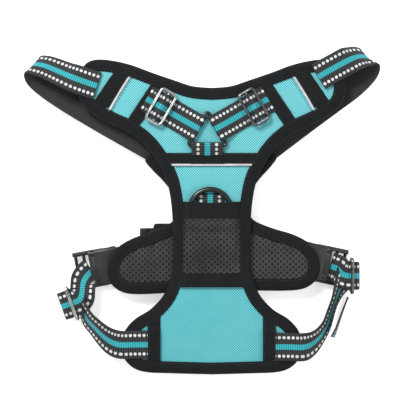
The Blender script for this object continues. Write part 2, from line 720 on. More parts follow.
def pouch(name, low, high, material, cad_nodes, lift, dip=0.0):
    columns = np.linspace(-pocket_half, pocket_half, 45)
    shape = []
    for k in range(int((high - low) / 1.1) + 2):
        t = k / (int((high - low) / 1.1) + 1)
        top = high - dip * np.exp(-(columns / 0.014) ** 2)
        y = low + (top - low) * t
        wide = columns * (1 + 0.0045 / pocket_half * rise(y, -4, -19))
        shape.append(np.stack([wide, (y + girth_y) / 1000, deck + lift + pocket_height(wide, y)], 1))
    shape = np.array(shape)
    rows, cols = shape.shape[:2]
    faces = [(i * cols + j, i * cols + j + 1, (i + 1) * cols + j + 1, (i + 1) * cols + j)
             for i in range(rows - 1) for j in range(cols - 1)]
    mesh = bpy.data.meshes.new(name)
    mesh.from_pydata(shape.reshape(-1, 3).tolist(), [], faces)
    layer = mesh.uv_layers.new(name="UVMap")
    for polygon in mesh.polygons:
        for loop in polygon.loop_indices:
            place = mesh.vertices[mesh.loops[loop].vertex_index].co
            layer.data[loop].uv = (place.y * 1000, place.x * 1000)
    mesh.materials.append(material)
    made = shade_smooth(linked(name, mesh))
    wall = made.modifiers.new("wall", "SOLIDIFY")
    wall.thickness = 0.0008
    wall.offset = 1
    baked(made)
    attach(made, "harness")
    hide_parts(*cad_nodes)
    return made


pouch("pocket_pouch", -7, 44, mesh_lining, ["pocket_mesh"], 0.0)
pouch("pocket_elastic_band", 42.7, 57.3, black_tape, ["pocket_elastic"], 0.0007, 1.2)
pouch("pocket_hem_band", -18.7, -6.3, black_tape, ["pocket_hem"], 0.0003)

# ---------------------------------------------------------------------------
# Wire rings
# The front leash ring and the triangular ring are bent from steel wire, welded
# shut and coated in glossy black; the back leash ring is plated dark.
scuffs, inside, outside = effect("scuffs", {"Size": 6.0}, ("Mask",))
marks = node(scuffs, "ShaderNodeTexNoise")
marks.inputs["Detail"].default_value = 6
marks.inputs["Roughness"].default_value = 0.7
feed(scuffs, marks.inputs["Vector"], inside.outputs["Vector"])
feed(scuffs, marks.inputs["Scale"], sums(scuffs, "DIVIDE", 1.0, inside.outputs["Size"]))
feed(scuffs, outside.inputs["Mask"], step_up(scuffs, marks.outputs["Fac"], 0.52, 0.68))


def wire_finish(name, dull, bright, low, high, metallic):
    made, tree, surface = new_material(name)
    spot = in_mm(tree)
    worn = placed(tree, scuffs, spot, Size=4.0)
    cloud = placed(tree, cloudy, spot, Size=7.0)
    feed(tree, surface.inputs["Base Color"], mixed(tree, sums(tree, "MULTIPLY", worn, 0.5),
        mixed(tree, cloud, dull, bright), bright))
    rough = sums(tree, "ADD", low, sums(tree, "MULTIPLY", worn, high - low))
    feed(tree, surface.inputs["Roughness"], rough)
    surface.inputs["Metallic"].default_value = metallic
    bumped(tree, surface, worn, 0.00004, 0.5)
    return made


black_wire = wire_finish("black_coated_wire", (0.004, 0.0045, 0.005, 1), (0.012, 0.013, 0.014, 1),
    0.16, 0.34, 0.0)
chrome = wire_finish("bright_plated_wire", (0.3, 0.305, 0.31, 1), (0.6, 0.61, 0.62, 1), 0.16, 0.34, 1.0)
gunmetal = wire_finish("dark_plated_wire", (0.07, 0.073, 0.077, 1), (0.2, 0.205, 0.21, 1), 0.2, 0.4,
    1.0)


def tube(name, path, radius, material, closed=False, sides=14):
    """A round wire along a path."""
    p = np.asarray(path, float)
    run = (np.roll(p, -1, 0) - np.roll(p, 1, 0)) if closed else np.gradient(p, axis=0)
    run /= np.linalg.norm(run, axis=1)[:, None]
    first = np.cross(run[0], [0.31, 0.17, 0.93])
    frames = [first / np.linalg.norm(first)]
    for t in run[1:]:
        carried = frames[-1] - t * (frames[-1] @ t)
        frames.append(carried / np.linalg.norm(carried))
    n = np.array(frames)
    m = np.cross(run, n)
    turns = np.linspace(0, 2 * math.pi, sides, endpoint=False)
    rows = p[:, None] + radius * (np.cos(turns)[None, :, None] * n[:, None] + np.sin(turns)[None, :,
        None] * m[:, None])
    if closed:
        slip = math.atan2((n[-1] - run[0] * (n[-1] @ run[0])) @ m[0], n[-1] @ n[0])
        back = np.linspace(0, -slip, len(p))[:, None] + turns[None]
        rows = p[:, None] + radius * (np.cos(back)[..., None] * n[:, None] + np.sin(back)[...,
            None] * m[:, None])
    s = run_lengths(p, closed)
    uv = np.zeros((len(s), sides + 1, 2))
    uv[:, :, 0] = np.linspace(0, 2 * math.pi * radius * 1000, sides + 1)[None]
    uv[:, :, 1] = s[:, None]
    return skin(name, rows, uv, material, closed=closed)


def rounded_loop(corners, radius, step=0.0006):
    """A closed path through corners, each rounded to a radius."""
    c = np.asarray(corners, float)
    out = []
    for i in range(len(c)):
        a, b, d = c[i - 1], c[i], c[(i + 1) % len(c)]
        u, v = (a - b) / np.linalg.norm(a - b), (d - b) / np.linalg.norm(d - b)
        half = math.acos(float(np.clip(u @ v, -1, 1))) / 2
        reach = radius / math.tan(half)
        middle = b + (u + v) / np.linalg.norm(u + v) * radius / math.sin(half)
        start, end = b + u * reach - middle, b + v * reach - middle
        sweep = math.pi - 2 * half
        for t in np.linspace(0, 1, 9):
            out.append(middle + (start * math.sin((1 - t) * sweep) + end * math.sin(t * sweep)) / math.sin(sweep))
    return evenly(np.array(out + [out[0]]), step * 1.5)[:-1]


ring_wire = 0.0023
front_x = -0.0013
front_ring_w, front_ring_depth = 0.0414, 0.037
tab_t = 0.0009
ring_z = deck + 0.0002 + tab_t + 0.0002 + ring_wire
front_bar_y = at(0, 70.5)[1] - front_ring_depth + ring_wire


def d_path(width, depth, z, x, bar_y, way):
    r = width / 2 - ring_wire
    leg = depth - width / 2 - ring_wire
    arc = [(x + r * math.cos(a), bar_y + way * (leg + r * math.sin(a)), z) for a in np.linspace(0,
        math.pi, 41)]
    turn_r = 0.0026
    low_left = [(x - r + turn_r - turn_r * math.cos(a),
        bar_y + way * (turn_r - turn_r * math.sin(a)), z) for a in np.linspace(0, math.pi / 2, 8)]
    low_right = [(x + r - turn_r + turn_r * math.sin(a),
        bar_y + way * (turn_r - turn_r * math.cos(a)), z) for a in np.linspace(0, math.pi / 2, 8)]
    whole = arc + low_left + low_right
    return evenly(np.array(whole + [whole[0]]), 0.0012)[:-1]


front_ring = tube("front_leash_ring_wire", d_path(front_ring_w, front_ring_depth, ring_z, front_x,
    front_bar_y, 1),
                  ring_wire, black_wire, closed=True, sides=18)
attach(front_ring, "front_leash_ring")
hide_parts("front_leash_ring")

back_ring_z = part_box("back_leash_ring")[0].z + ring_wire
back_bar_y = -0.0265
back_ring = tube("back_leash_ring_wire", d_path(0.038, 0.032, back_ring_z, 0, back_bar_y, -1),
    ring_wire, gunmetal, closed=True, sides=18)
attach(back_ring, "back_leash_ring")
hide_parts("back_leash_ring")

tri_side, tri_wire = 0.036, 0.0015
tri_h = tri_side * math.sqrt(3) / 2
tri_y = at(0, 107)[1]
tri_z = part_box("triangular_ring")[1].z - tri_wire - 0.00015
tri_ring = tube("triangular_ring_wire", rounded_loop([(ring_middle - tri_side / 2, tri_y, tri_z),
    (ring_middle + tri_side / 2, tri_y, tri_z),
                (ring_middle, tri_y + tri_h, tri_z)], 0.0021), tri_wire, black_wire, closed=True)
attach(tri_ring, "triangular_ring")
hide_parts("triangular_ring")

# ---------------------------------------------------------------------------
# Webbing round the rings
# Ribbed black webbing with a woven coloured stripe up its middle and a row of
# reflective dots each side. Its back is plain. Loops of it hold the rings.
webbing_cloth, tree, surface = new_material("striped_webbing")
spot = node(tree, "ShaderNodeTexCoord").outputs["UV"]
parts = node(tree, "ShaderNodeSeparateXYZ")
feed(tree, parts.inputs[0], spot)
off_middle = sums(tree, "ABSOLUTE", parts.outputs["X"])
rib = placed(tree, ribs, spot, Pitch=2.0)
fuzz = placed(tree, cloudy, spot, Size=0.8)
dye = placed(tree, cloudy, spot, Size=14.0)
places = node(tree, "ShaderNodeCombineXYZ")
feed(tree, places.inputs["X"], parts.outputs["Y"])
feed(tree, places.inputs["Y"], sums(tree, "ADD", off_middle, 500.0 - 8.2))
dots = placed(tree, spots, places.outputs[0], Step=4.0, Row=1000.0, Radius=1.2, Soft=0.3, Stagger=0.0)
stripe = step_up(tree, off_middle, 2.65, 2.2)
shade = mixed(tree, rib, (0.0005, 0.0006, 0.0008, 1), (0.034, 0.037, 0.04, 1))
shade = mixed(tree, sums(tree, "MULTIPLY", fuzz, 0.3), shade, (0.035, 0.0375, 0.04, 1))
blue = mixed(tree, rib, (0.005, 0.13, 0.16, 1), (0.04, 0.42, 0.47, 1))
shade = mixed(tree, stripe, shade, blue)
bright = mixed(tree, dye, (0.5, 0.51, 0.5, 1), (0.74, 0.75, 0.73, 1))
feed(tree, surface.inputs["Base Color"], mixed(tree, dots, shade, bright))
surface.inputs["Roughness"].default_value = 0.7
surface.inputs["Specular IOR Level"].default_value = 0.22
surface.inputs["Sheen Weight"].default_value = 0.04
bumped(tree, surface, sums(tree, "ADD", sums(tree, "ADD", rib, sums(tree, "MULTIPLY", dots, 0.5)),
    sums(tree, "MULTIPLY", fuzz, 0.3)), 0.0003, 0.8)


def nearest_index(path, place):
    return int(np.argmin(((path - np.asarray(place)) ** 2).sum(1)))


def webbing(name, stations, width, thick, steps=5, face=1, step=0.0016, swap=None):
    """Flat webbing through stations [x, y, z, wx, wy, wz]; face -1 turns its stripes under, swap is where they change side."""
    s = evenly(smooth(stations, steps), step)
    p, w = s[:, :3], s[:, 3:]
    run = np.gradient(p, axis=0)
    run /= np.linalg.norm(run, axis=1)[:, None]
    w = w - run * np.sum(w * run, axis=1)[:, None]
    w /= np.linalg.norm(w, axis=1)[:, None]
    n = np.cross(run, w)
    share = np.array([-0.5, -0.488, -0.45, -0.3, -0.15, 0, 0.15, 0.3, 0.45, 0.488, 0.5])
    high = np.array([0.15, 0.38, 0.5, 0.5, 0.5, 0.5, 0.5, 0.5, 0.5, 0.38, 0.15]) * thick
    upper = p[:, None] + w[:, None] * (share * width)[None, :, None] + n[:, None] * high[None, :, None]
    lower = (p[:, None] + w[:, None] * (share * width)[None, :, None] - n[:, None] * high[None, :,
        None])[:, ::-1]
    rows = np.concatenate([upper, lower], 1)
    v = run_lengths(p)
    plain, shown = share[::-1] * width * 1000 + 100, share * width * 1000
    stripes_up = np.concatenate([shown, plain, [shown[0]]])
    stripes_down = np.concatenate([plain[::-1], shown[::-1], [plain[-1]]])
    uv = np.zeros((len(p), len(shown) * 2 + 1, 2))
    uv[:, :, 0] = (stripes_up if face > 0 else stripes_down)[None]
    if swap is not None:
        past = nearest_index(p, swap)
        uv[past:, :, 0] = (stripes_down if face > 0 else stripes_up)[None]
    uv[:, :, 1] = v[:, None]
    return skin(name, rows, uv, webbing_cloth)


def loop_path(plane_points, x, way=(1, 0, 0)):
    return [[x, y, z, *way] for y, z in plane_points]


def arc_points(cy, cz, r, start, end, n):
    return [(cy + r * math.cos(a), cz + r * math.sin(a)) for a in np.radians(np.linspace(start, end,
        n + 1))]


slit_y = at(0, 64)[1]
r = ring_wire + 0.0002 + tab_t / 2
front_tab = webbing("front_ring_tab_webbing", loop_path(
    [(front_bar_y + 0.010, deck + 0.0002 + tab_t / 2)] + arc_points(front_bar_y, ring_z, r, -90,
        -280, 12)
    + [(slit_y - 0.012, deck + 0.0017), (slit_y - 0.003, deck + 0.0007),
        (slit_y + 0.0008, deck - 0.0004)], front_x),
    0.025, tab_t, 3, face=-1)
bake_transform(front_tab)
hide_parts("front_ring_tab")

r = ring_wire + 0.0002 + tab_t / 2
back_tab = webbing("back_ring_tab_webbing", loop_path(
    [(back_bar_y + 0.024, back_ring_z + r)] + arc_points(back_bar_y, back_ring_z, r, 90, 295, 12)
    + [(back_bar_y + 0.012, back_ring_z + r - tab_t - 0.0001)], 0), 0.025, tab_t, 3, face=1)
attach(back_tab, "harness")
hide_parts("back_ring_tab")

web_t = 0.0016
centre_t = web_t * 0.8
r = tri_wire + 0.0003 + centre_t / 2
z0 = deck + 0.0001 + centre_t / 2
centre_loop = webbing("centre_strap_webbing", loop_path(
    [(at(0, cross_low)[1] + 0.001, z0)] + arc_points(tri_y, tri_z, r, -90, 120, 12)
    + [(at(0, cross_top)[1] - 0.0025, z0 + centre_t + 0.0002)], ring_middle), 0.028, centre_t, 3,
        face=1)
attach(centre_loop, "harness")
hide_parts("centre_strap")

# ---------------------------------------------------------------------------
# Chest straps and their sliders
# A strap runs from each slanted side of the triangular ring to its arm, through a
# three-bar slider. The left slider is bright, the right one plated dark.
flat_web_z = deck + 0.0001 + web_t / 2
slider_in, slider_w, slider_wire = 0.027, 0.0176, 0.0015
slider_dist = 0.037
slider_z = flat_web_z + web_t + 0.0006 + web_t / 2 + slider_wire + 0.00015
tilt = math.radians(30)


def along_strap(side, points):
    """Places (distance from the ring, height) pairs along a chest strap."""
    middle = np.array([ring_middle + side * tri_side / 4, tri_y + tri_h / 2])
    way = np.array([side * math.cos(tilt), math.sin(tilt)])
    across = np.array([-way[1], way[0]])
    return [[*(middle + way * s), z, *across, 0.0] for s, z in points]


def slider_path(z):
    half_l, half_w = slider_in / 2 + slider_wire, slider_w / 2 - slider_wire
    return rounded_loop([(-half_w, -half_l, z), (half_w, -half_l, z), (half_w, half_l, z),
        (-half_w, half_l, z)], 0.0026)


def place_frame(points, middle, way, across, normal):
    p = np.asarray(points, float)
    return middle + p[:, :1] * way + p[:, 1:2] * across + p[:, 2:3] * normal


for side, word, finish, slot_name in ((-1, "left", chrome, "chrome"),
    (1, "right", gunmetal, "gunmetal")):
    wrap_r = tri_wire + 0.0003 + web_t / 2
    path = [(x, z) for x, z in arc_points(0, tri_z, wrap_r, 225, 72, 10)]
    path += [(0.0125, flat_web_z + 0.0003), (0.016, flat_web_z)] + [(s,
        flat_web_z) for s in np.arange(0.02, 0.0525, 0.004)]
    strap = webbing(word + "_chest_strap_webbing", along_strap(side, path), 0.025, web_t, 2)
    far, near = along_strap(side, [(0.018, flat_web_z), (0.0035, tri_z)])
    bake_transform(strap)
    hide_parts(word + "_chest_strap")
    low = flat_web_z + web_t + 0.0003
    high = slider_z + slider_wire * 0.8 + 0.0002 + web_t / 2
    reach = slider_w / 2
    woven = [(-reach - 0.0015, low), (-reach + 0.001, low), (-reach + 0.0026, low + 0.0002),
        (-0.003, (low + high) / 2), (-0.0013, high - 0.0003),
             (0, high), (0.0013, high - 0.0003), (0.003, (low + high) / 2),
                 (reach - 0.0026, low + 0.0002), (reach - 0.001, low), (reach + 0.0015, low)]
    wrap = webbing(word + "_slider_wrap_webbing", along_strap(side,
        [(slider_dist + s, z) for s, z in woven]), 0.0252, web_t, 3, step=0.0008)
    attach(wrap, word + "_chest_slider")
    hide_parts(word + "_slider_wrap")
    station = np.array(along_strap(side, [(slider_dist, slider_z)])[0])
    way = np.array([side * math.cos(tilt), math.sin(tilt), 0])
    across = np.array([-way[1], way[0], 0])
    frame_wire = tube(word + "_chest_slider_frame", place_frame(slider_path(0), station[:3], way,
        across, np.array([0, 0, 1])),
                      slider_wire, finish, closed=True)
    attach(frame_wire, word + "_chest_slider")
    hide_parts(word + "_chest_slider")
    bar = [(0, y, 0) for y in np.linspace(-slider_in / 2 - slider_wire, slider_in / 2 + slider_wire,
        12)]
    middle_bar = tube(word + "_chest_slider_bar", place_frame(bar, station[:3], way, across,
        np.array([0, 0, 1])), slider_wire * 0.8, finish)
    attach(middle_bar, word + "_chest_slider")

# ---------------------------------------------------------------------------
# Neck straps
# Each runs from under an arm's outer band, out over the binding, folds back on
# itself and passes under the chest panel to the back panel's shoulder.
over_rim = rim + 0.00005 + web_t / 2
under_back = back_low - 0.0001 - web_t / 2


def stations(rows):
    return [[*at(x, y), z, *w] for x, y, z, w in rows]


left_neck = stations([
    (-101.5, 159.8, over_rim, (0.3, 0.95, 0)), (-111, 163, over_rim + 0.0001, (0.31, 0.95, 0)),
    (-119.5, 166, over_rim + 0.0006, (0.32, 0.94, 0)), (-128.5, 169.4, 0.0254, (0.33, 0.86, -0.3)),
    (-139, 174, 0.0226, (0.37, 0.8, -0.42)), (-150, 178.2, 0.020, (0.44, 0.72, -0.5)),
    (-159.5, 179, 0.0155, (0.52, 0.66, -0.54)), (-158, 171, 0.0104, (0.51, 0.72, -0.46)),
    (-147, 161.5, 0.0088, (0.5, 0.78, -0.36)), (-129, 149.8, 0.0083, (0.5, 0.83, -0.22)),
    (-110, 138.5, 0.0086, (0.5, 0.85, -0.1)), (-92, 128, 0.0094, (0.51, 0.86, -0.03)),
    (-74, 117.8, under_back, (0.51, 0.86, 0)), (-46, 102, under_back, (0.51, 0.86, 0))])
right_neck = stations([
    (94.5, 167.8, over_rim, (-0.5, 0.86, 0)), (103, 172.8, over_rim + 0.0001, (-0.5, 0.86, 0)),
    (112, 177.8, over_rim + 0.0003, (-0.49, 0.86, 0)), (119.5, 181.8, over_rim + 0.0006,
        (-0.48, 0.86, 0)),
    (126.5, 184.8, 0.0238, (-0.5, 0.78, -0.34)), (134, 186.4, 0.0192, (-0.6, 0.7, -0.38)),
    (140.5, 184.4, 0.0144, (-0.68, 0.64, -0.34)), (138.5, 175.5, 0.010, (-0.66, 0.7, -0.28)),
    (126.5, 162.8, 0.0086, (-0.61, 0.77, -0.2)), (108, 149, 0.0086, (-0.6, 0.8, -0.12)),
    (90, 135.8, 0.0092, (-0.6, 0.8, -0.05)), (72, 122.3, under_back, (-0.6, 0.8, 0)),
    (47, 103.4, under_back, (-0.6, 0.8, 0))])
for word, rows, face in (("left", left_neck, -1), ("right", right_neck, 1)):
    strap = webbing(word + "_neck_strap_webbing", rows, 0.025, web_t, 8, face=face)
    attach(strap, "harness")
    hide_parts(word + "_neck_strap")

# ---------------------------------------------------------------------------
# Buckles
# Side-release buckles moulded in black acetal: a hollow socket tied under each
# wing, and a plug with two springy arms on the end of each side strap.
moulded, tree, surface = new_material("moulded_black_acetal")
spot = in_mm(tree)
grain = placed(tree, cloudy, spot, Size=0.5)
rubbed = placed(tree, scuffs, spot, Size=5.0)
dust = placed(tree, cloudy, spot, Size=12.0)
shade = mixed(tree, dust, (0.005, 0.0055, 0.006, 1), (0.011, 0.012, 0.013, 1))
surface.inputs["Specular IOR Level"].default_value = 0.5
feed(tree, surface.inputs["Base Color"], mixed(tree, sums(tree, "MULTIPLY", rubbed, 0.3), shade,
    (0.03, 0.031, 0.033, 1)))
feed(tree, surface.inputs["Roughness"], sums(tree, "ADD", 0.3,
    sums(tree, "MULTIPLY", sums(tree, "ADD", dust, rubbed), 0.1)))
bumped(tree, surface, grain, 0.00006, 0.6)


def moulding(name, body, bevel=0.0008):
    """A moulded copy of a CAD node, with its sharp edges rounded."""
    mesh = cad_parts[name].data.copy()
    mesh.materials.clear()
    mesh.materials.append(moulded)
    shape = bmesh.new()
    shape.from_mesh(mesh)
    bmesh.ops.remove_doubles(shape, verts=shape.verts, dist=0.000002)
    bmesh.ops.dissolve_limit(shape, angle_limit=math.radians(1.5), verts=shape.verts, edges=shape.edges)
    bmesh.ops.recalc_face_normals(shape, faces=shape.faces)
    shape.to_mesh(mesh)
    shape.free()
    made = linked(name + "_moulding", mesh)
    edge = made.modifiers.new("edge", "BEVEL")
    edge.width = bevel
    edge.segments = 2
    edge.limit_method = "ANGLE"
    edge.angle_limit = math.radians(32)
    baked(made)
    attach(made, body)
    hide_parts(name)
    return shade_by_angle(made)


def shade_by_angle(piece, degrees=35):
    shape = bmesh.new()
    shape.from_mesh(piece.data)
    for edge in shape.edges:
        edge.smooth = len(edge.link_faces) == 2 and edge.calc_face_angle(0) < math.radians(degrees)
    for face in shape.faces:
        face.smooth = True
    shape.to_mesh(piece.data)
    shape.free()
    return piece


for word in ("left", "right"):
    moulding(word + "_socket", "harness")
    moulding(word + "_plug", word + "_plug")
    moulding(word + "_front_latch", word + "_front_latch", 0.0003)
    moulding(word + "_rear_latch", word + "_rear_latch", 0.0003)

buckle_z = 0.0055
for side, word, mouth, lean in ((-1, "left", at(-103.5, -2.5), 10), (1, "right", at(101, 1), 12)):
    turned = math.radians(lean)
    out = np.array([side * math.cos(turned), -math.sin(turned)])
    wide = np.array([side * math.sin(turned), math.cos(turned)])
    bar = -0.020 - 0.0065 + 0.0012
    up = back_low - 0.0001 - buckle_z - tab_t / 2
    loop = [(bar - 0.009, up), (bar - 0.007, up)] + arc_points(bar, 0, 0.0027 + tab_t / 2, 75, -120,
        10) + [(bar - 0.0075, up - tab_t - 0.0001)]
    tab = webbing(word + "_socket_tab_webbing", [[*(mouth + out * x), buckle_z + z, *wide,
        0.0] for x, z in loop], 0.025, tab_t, 3, face=side)
    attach(tab, "harness")
    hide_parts(word + "_socket_tab")

# ---------------------------------------------------------------------------
# Side straps and side sliders
# One length of webbing runs from under each corner band, through the slider, round
# and back through it, and over the plug's bars. It bends as the plug is drawn out.
side_z = 0.0135
slot_rise = (slider_w - 2 * slider_wire) / 4
left_turn, right_turn = at(-125, -33.5), at(125.5, -9)
turn_depth = 0.0075
left_side = stations([
    (-54, -69.6, over_rim, (0, 1, 0)), (-62, -69.6, over_rim, (0, 1, 0)),
        (-70, -69.7, over_rim + 0.0001, (0, 1, 0)),
    (-81, -69.7, over_rim + 0.0006, (0.02, 1, 0)), (-89, -67.4, 0.024, (0.24, 0.9, 0.3)),
    (-96.5, -62.2, 0.021, (0.38, 0.7, 0.6)), (-104.5, -54.5, 0.018, (0.4, 0.5, 0.77)),
    (-110.5, -48.2, 0.0156, (0.34, 0.48, 0.8)), (-114.6, -40.5, 0.0128, (0.2, 0.6, 0.77)),
    (-117, -34.8, side_z - slot_rise + 0.0004, (-0.2, 0.94, 0.25))])
right_side = stations([
    (54, -71.6, over_rim, (0, 1, 0)), (62, -71.6, over_rim, (0, 1, 0)),
        (70, -71.7, over_rim + 0.0001, (0, 1, 0)),
    (81, -71.8, over_rim + 0.0006, (-0.02, 1, 0)), (88.5, -69.2, 0.024, (-0.24, 0.85, 0.45)),
    (96, -62.8, 0.021, (-0.36, 0.5, 0.78)), (102.5, -53, 0.0185, (-0.36, 0.25, 0.9)),
    (106.5, -41.5, 0.0168, (-0.34, 0.14, 0.93)), (110.5, -30.5, 0.0154, (-0.34, 0.14, 0.93)),
    (114.6, -20.5, 0.0124, (-0.3, 0.5, 0.7))])
slider_lean = math.radians(20)


def leaned(x, y, z, wx, wy, wz=0.0):
    """A station given in millimetres from the middle of the left side slider, whose frame leans."""
    c, n = math.cos(slider_lean), math.sin(slider_lean)
    return [left_turn[0] + (x * c - y * n) / 1000, left_turn[1] + (x * n + y * c) / 1000,
        side_z + z / 1000,
            wx * c - wy * n, wx * n + wy * c, wz]


mouth = at(-103.5, -2.5)
up = slot_rise * 1000
left_plug_end = [
    [mouth[0] - 0.0040, mouth[1] - 0.0026, buckle_z + 0.0016, -0.4, 0.92, 0],
        [mouth[0] - 0.0070, mouth[1] - 0.0052, buckle_z + 0.0040, -0.5, 0.87, 0],
    [mouth[0] - 0.0098, mouth[1] - 0.0092, buckle_z + 0.0066, -0.62, 0.78, -0.15],
    leaned(15.2, 12.2, 0.8, -0.7, 0.55, -0.4), leaned(12.2, 5.8, 2.6, -0.66, 0.6, -0.4),
        leaned(9.2, 1.6, up, -0.4, 0.88, -0.15),
    leaned(6.2, 0.2, up, 0, 1), leaned(-1, 0, up, 0, 1), leaned(-5, 0, up, 0, 1),
    leaned(-turn_depth * 1000 - 0.5, 0, up * 0.7, 0, 1), leaned(-turn_depth * 1000 - 2, 0, 0, 0, 1),
    leaned(-turn_depth * 1000 - 0.5, 0, -up * 0.7, 0, 1), leaned(-5, 0, -up, 0, 1),
    leaned(-1, 0, -up, 0, 1), leaned(4, 0, -up, 0, 1)]
t, z, r = right_turn, side_z, slot_rise
mouth = at(101, 1)
right_plug_end = [
    [mouth[0] + 0.0058, mouth[1] - 0.0014, buckle_z + 0.0012, 0.2, 0.98, 0],
        [mouth[0] + 0.0086, mouth[1] - 0.0026, buckle_z + 0.0041, 0.2, 0.98, 0],
    [mouth[0] + 0.0124, mouth[1] - 0.0043, buckle_z + 0.0066, 0.22, 0.97, 0],
    [t[0] - 0.0085, t[1] + 0.0016, z + 0.002, 0.18, 0.98, 0],
        [t[0] - 0.0042, t[1] + 0.0001, z + r, 0.02, 1, 0],
    [t[0], t[1], z + r, 0, 1, 0], [t[0] + 0.0026, t[1], z + r, 0, 1, 0],
        [t[0] + 0.0049, t[1], z + r * 0.7, 0, 1, 0],
    [t[0] + 0.0062, t[1], z, 0, 1, 0], [t[0] + 0.0049, t[1], z - r * 0.7, 0, 1, 0],
        [t[0] + 0.0026, t[1], z - r, 0, 1, 0],
    [t[0], t[1], z - r, 0, 1, 0], [t[0] - 0.0034, t[1], z - r, 0, 1, 0]]
right_return = stations([
    (108.3, -64, 0.0134, (-0.2, 0.1, 0.97)), (111.9, -56, 0.0134, (-0.15, 0.06, 0.99)),
        (115.9, -44.5, 0.0134, (-0.12, 0.05, 0.99)),
    (119.7, -34, 0.0134, (-0.1, 0.04, 0.99)), (122, -28.4, 0.0134, (-0.08, 0.03, 0.99))])
left_strap = webbing("left_side_strap_webbing", left_side + left_plug_end[::-1], 0.025, web_t, 8,
    face=-1,
                     swap=leaned(-turn_depth * 1000 - 2, 0, 0, 0, 1)[:3])
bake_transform(left_strap)
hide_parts("left_side_strap", "left_plug_strap")
right_strap = webbing("right_side_strap_webbing", right_side + right_plug_end[::-1], 0.025, web_t,
    8, face=1,
                      swap=(right_turn[0] + 0.0062, right_turn[1], side_z))
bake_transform(right_strap)
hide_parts("right_side_strap", "right_plug_strap")
fold = webbing("right_strap_fold_webbing", right_return, 0.023, web_t, 8, face=1)
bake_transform(fold)
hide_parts("right_strap_return")

for word, place, lean, finish, slot_name in (("left", left_turn, slider_lean, chrome, "chrome"),
    ("right", right_turn, 0.0, gunmetal, "gunmetal")):
    middle = np.array([*place, side_z])
    up, along_y = np.array([0, 0, 1]), np.array([-math.sin(lean), math.cos(lean), 0])
    out = np.array([math.cos(lean), math.sin(lean), 0])
    rim_wire = tube(word + "_side_slider_frame", place_frame(slider_path(0), middle, up, along_y,
        out), slider_wire, finish, closed=True)
    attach(rim_wire, word + "_side_slider")
    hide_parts(word + "_side_slider")
    bar = [(0, y, 0) for y in np.linspace(-slider_in / 2 - slider_wire, slider_in / 2 + slider_wire,
        12)]
    middle_bar = tube(word + "_side_slider_bar", place_frame(bar, middle, up, along_y, out),
        slider_wire * 0.8, finish)
    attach(middle_bar, word + "_side_slider")
# ---------------------------------------------------------------------------
# Handle under the back panel
# A padded grip of stretch cloth round a length of webbing, whose two ends rise to
# the panel and are sewn there. The ends stretch as the handle is pulled away.
soft_grip, tree, surface = new_material("grip_cloth")
spot = in_mm(tree)
threads = placed(tree, weave, spot, Pitch=0.9)
dye = placed(tree, cloudy, spot, Size=16.0)
shade = mixed(tree, dye, (0.012, 0.0135, 0.016, 1), (0.026, 0.028, 0.032, 1))
feed(tree, surface.inputs["Base Color"], mixed(tree, sums(tree, "MULTIPLY", threads, 0.35), shade,
    (0.005, 0.005, 0.006, 1)))
surface.inputs["Roughness"].default_value = 0.8
surface.inputs["Specular IOR Level"].default_value = 0.2
surface.inputs["Sheen Weight"].default_value = 0.05
bumped(tree, surface, sums(tree, "ADD", threads, dye), 0.0002, 0.7)

grip_low, grip_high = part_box("handle_grip")
handle_x, handle_y = (grip_low.x + grip_high.x) / 2, (grip_low.y + grip_high.y) / 2
grip_len, grip_w, grip_t = grip_high.x - grip_low.x, grip_high.y - grip_low.y, grip_high.z - grip_low.z
grip_edge = np.array([[handle_x + x, handle_y + y] for x, y in (rounded_loop(
    [(-grip_len / 2, -grip_w / 2, 0), (grip_len / 2, -grip_w / 2, 0), (grip_len / 2, grip_w / 2, 0),
        (-grip_len / 2, grip_w / 2, 0)], 0.003)[:, :2])])
grip = pad_blank("handle_grip_pad", grip_edge, 0.0014, grip_t - 0.0014, 0.0018)
co = corners_of(grip)
held = (edge_distance(co, grip_edge) < 0.0022) | (np.abs(np.abs(co[:,
    1] - handle_y) - grip_w / 2 + 0.0045) < 0.001)
puff(grip, held, 2.0, 0.0010)
grip.data.materials.clear()
grip.data.materials.append(soft_grip)
shade_smooth(grip)
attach(grip, "handle")
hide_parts("handle_grip")

mid_z = grip_t / 2
core = webbing("handle_core_webbing", [[handle_x + x, handle_y, mid_z, 0, 1,
    0] for x in np.linspace(-grip_len / 2 + 0.0035, grip_len / 2 - 0.0035, 9)],
               0.025, web_t, 2)
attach(core, "handle")
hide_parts("handle_webbing")
panel_z = back_low - 0.0001 - web_t / 2
for side, word in ((-1, "left"), (1, "right")):
    near, far = grip_len / 2, grip_len / 2 + 0.0025
    far_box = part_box("handle_" + word + "_end")
    reach = max(abs(far_box[0].x - handle_x), abs(far_box[1].x - handle_x))
    path = [(near - 0.003, mid_z), (near + 0.001, mid_z), (far, mid_z + 0.0002),
        (far + 0.002, mid_z + 0.001), (far + 0.0042, panel_z - 0.0012),
            (far + 0.0065, panel_z), (reach - 0.001, panel_z), (reach, panel_z)]
    end = webbing("handle_" + word + "_end_webbing", [[handle_x + side * x, handle_y, z, 0, 1,
        0] for x, z in path], 0.025, web_t, 4, face=-side)
    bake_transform(end)
    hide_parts("handle_" + word + "_end")

# ---------------------------------------------------------------------------
# Stitching
# Rows of short raised stitches hold the binding, the bands, the piping and the
# pocket. Each row follows a line and repeats one little thread shape.
thread, tree, surface = new_material("black_thread")
spot = in_mm(tree)
twist = placed(tree, cloudy, spot, Size=0.5)
feed(tree, surface.inputs["Base Color"], mixed(tree, twist, (0.012, 0.013, 0.014, 1),
    (0.05, 0.053, 0.056, 1)))
surface.inputs["Roughness"].default_value = 0.5
surface.inputs["Specular IOR Level"].default_value = 0.3
bumped(tree, surface, twist, 0.0001, 0.6)

